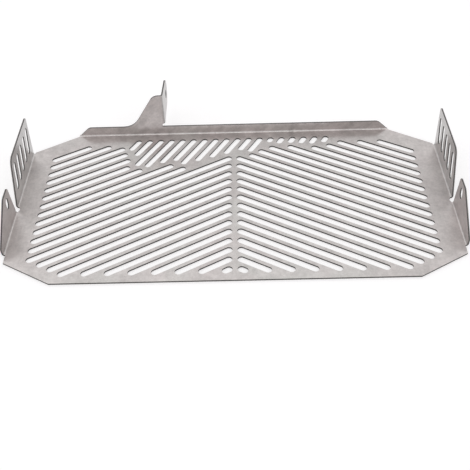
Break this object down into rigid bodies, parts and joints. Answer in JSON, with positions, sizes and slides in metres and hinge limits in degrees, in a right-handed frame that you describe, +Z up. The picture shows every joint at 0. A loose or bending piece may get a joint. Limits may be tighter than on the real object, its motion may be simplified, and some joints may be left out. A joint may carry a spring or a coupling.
{
  "type": "motorcycle radiator guard",
  "caption": "Flat slotted grille folded from one stainless sheet, with side wings, a back flange and a lug, that shields a motorcycle radiator from stones.",
  "frame": {"origin": "middle of the flat grille, on its underside", "axes": "+X to the right along the long side, +Y from the front edge to the back flange, +Z up out of the grille, the way the wings are folded"},
  "size_m": [0.4058, 0.2508, 0.0478],
  "materials": {
    "steel_sheet": "satin, fine straight grain"
  },
  "bodies": {
    "root": {"radiator_guard": "steel_sheet"}
  },
  "joints": []
}
